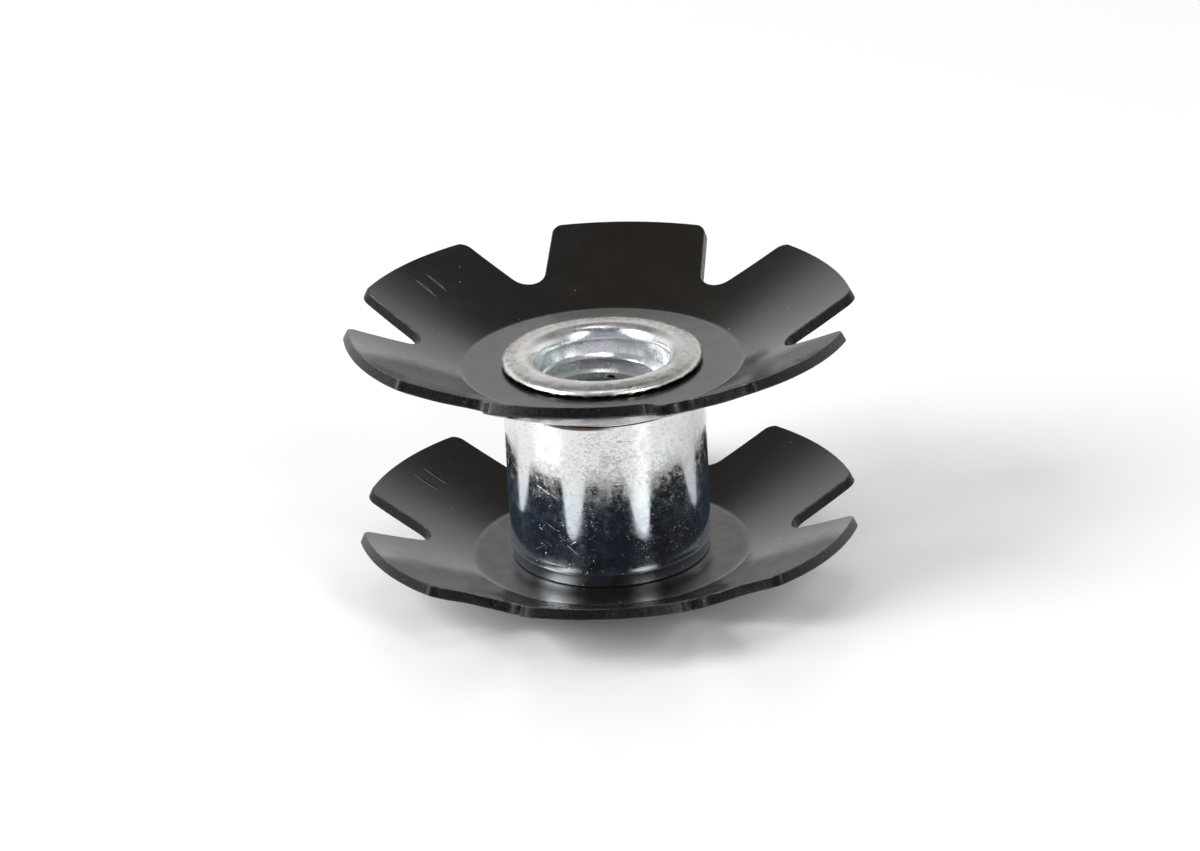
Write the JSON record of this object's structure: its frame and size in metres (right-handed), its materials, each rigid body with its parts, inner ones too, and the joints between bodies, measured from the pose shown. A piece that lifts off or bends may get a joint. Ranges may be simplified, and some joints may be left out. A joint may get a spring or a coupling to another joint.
{
  "type": "star nut",
  "caption": "Threaded steel sleeve flared over two dished star washers, driven into a steerer tube so that a bolt can pull against it.",
  "frame": {"origin": "centre of the lower flare's resting face, at the bottom of the part", "axes": "+Z along the threaded bore, towards the fang tips and the bolt; one notch of the upper star lies on +X and one of its fangs on +Y"},
  "size_m": [0.0232, 0.0234, 0.0128],
  "materials": {
    "blackened_steel": "black oxide spring steel with a thin lacquer, glossy, with dust and worn brown edges",
    "zinc_plated_steel": "bright zinc plating with a faint blue tint, pitted and scratched, duller on the flared ends"
  },
  "bodies": {
    "root": {"upper_star": "blackened_steel", "lower_star": "blackened_steel", "threaded_sleeve": "zinc_plated_steel"}
  },
  "joints": []
}
